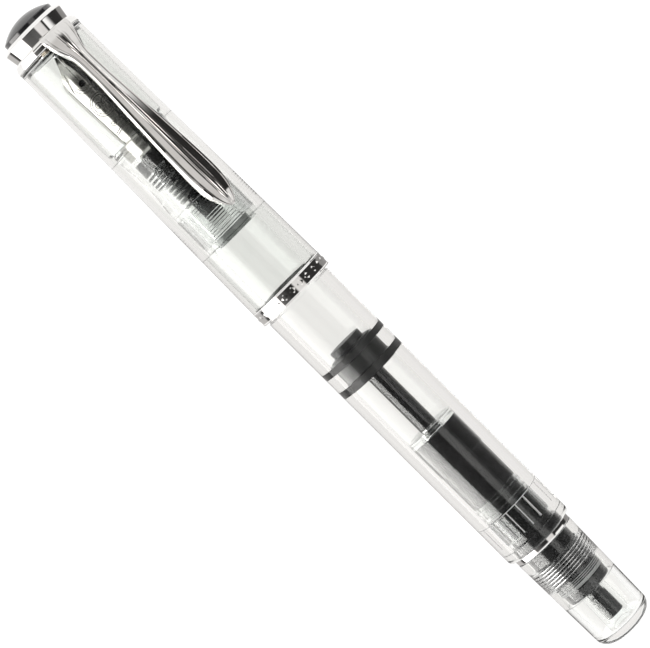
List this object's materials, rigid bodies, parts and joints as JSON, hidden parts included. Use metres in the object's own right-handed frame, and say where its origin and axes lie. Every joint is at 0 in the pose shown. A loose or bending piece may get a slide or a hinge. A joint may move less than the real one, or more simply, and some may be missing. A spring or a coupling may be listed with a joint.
{
  "type": "fountain pen",
  "caption": "Clear piston-filling fountain pen with a screw cap, a sprung pocket clip, a steel nib and feed, and a turning filler knob that drives the ink piston.",
  "frame": {"origin": "on the pen's axis, half way along the straight cylindrical stretch of the barrel that a hand, pen loop or stand holds", "axes": "+Z along the axis from the filler knob towards the crown of the cap; the clip is at -Y when the cap is on; X is across the pen"},
  "size_m": [0.0132, 0.0148, 0.1251],
  "materials": {
    "clear_plastic": "clear moulded acrylic, polished, very faint grey-green",
    "clear_liner": "clear moulded plastic, polished",
    "black_plastic": "black moulded plastic, satin to gloss",
    "feed_black": "black ebonite-like plastic, satin, fine fins",
    "black_rubber": "black smooth sealing rubber",
    "seal_grey": "dark grey seal",
    "chrome_trim": "mirror-polished chrome plate",
    "clip_chrome": "mirror-polished chrome plate on spring steel",
    "band_chrome": "polished chrome plate with a fine engraved pattern",
    "screw_metal": "plain turned brass, dull",
    "nib_steel": "polished stainless steel, engraved lines",
    "tipping_metal": "ground hard-metal tip"
  },
  "bodies": {
    "barrel": {"grip_section": "clear_plastic", "barrel": "clear_plastic", "nib": "nib_steel", "nib_tipping": "tipping_metal", "feed": "feed_black", "nib_collar": "black_plastic", "nib_seal": "seal_grey", "guide_ring": "clear_liner", "guide_sleeve": "black_plastic", "ribbed_collar": "clear_liner", "rear_bush": "black_plastic", "knob_trim_ring": "chrome_trim"},
    "cap_liner": {"inner_cap": "clear_liner"},
    "cap": {"crown_dome": "black_plastic", "crown_ring": "chrome_trim", "crown_screw": "screw_metal", "clip_ring": "chrome_trim", "cap_tube": "clear_plastic", "cap_band": "band_chrome"},
    "clip": {"clip_blade": "clip_chrome"},
    "knob_lift": {"thrust_washer": "black_plastic"},
    "knob": {"filler_knob": "clear_plastic", "knob_socket": "clear_liner", "spindle": "black_plastic"},
    "piston": {"piston_core": "black_plastic", "piston_seal": "black_rubber", "piston_rod": "black_plastic", "rod_nut": "black_plastic"}
  },
  "joints": [
    {"name": "cap_pull", "type": "slide", "parent": "barrel", "child": "cap_liner", "axis": [0, 0, 1], "range_m": [0, 0.06]},
    {"name": "cap_turn", "type": "hinge", "parent": "cap_liner", "child": "cap", "pos_m": [0, 0, 0.05], "axis": [0, 0, 1], "range_deg": [0, 630]},
    {"name": "clip_flex", "type": "hinge", "parent": "cap", "child": "clip", "pos_m": [0, -0.0063, 0.0759], "axis": [-1, 0, 0], "range_deg": [0, 3], "stiffness_Nm_per_rad": 1.9},
    {"name": "knob_turn", "type": "hinge", "parent": "knob_lift", "child": "knob", "pos_m": [0, 0, -0.035], "axis": [0, 0, 1], "range_deg": [0, 1620]},
    {"name": "knob_out", "type": "slide", "parent": "barrel", "child": "knob_lift", "axis": [0, 0, -1], "range_m": [0, 0.00451]},
    {"name": "piston_feed", "type": "slide", "parent": "barrel", "child": "piston", "axis": [0, 0, 1], "range_m": [0, 0.0206]}
  ],
  "couplings": [
    {"joint": "knob_out", "follows": "knob_turn", "m_per_rad": 0.00015915},
    {"joint": "piston_feed", "follows": "knob_turn", "m_per_rad": 0.000725}
  ]
}
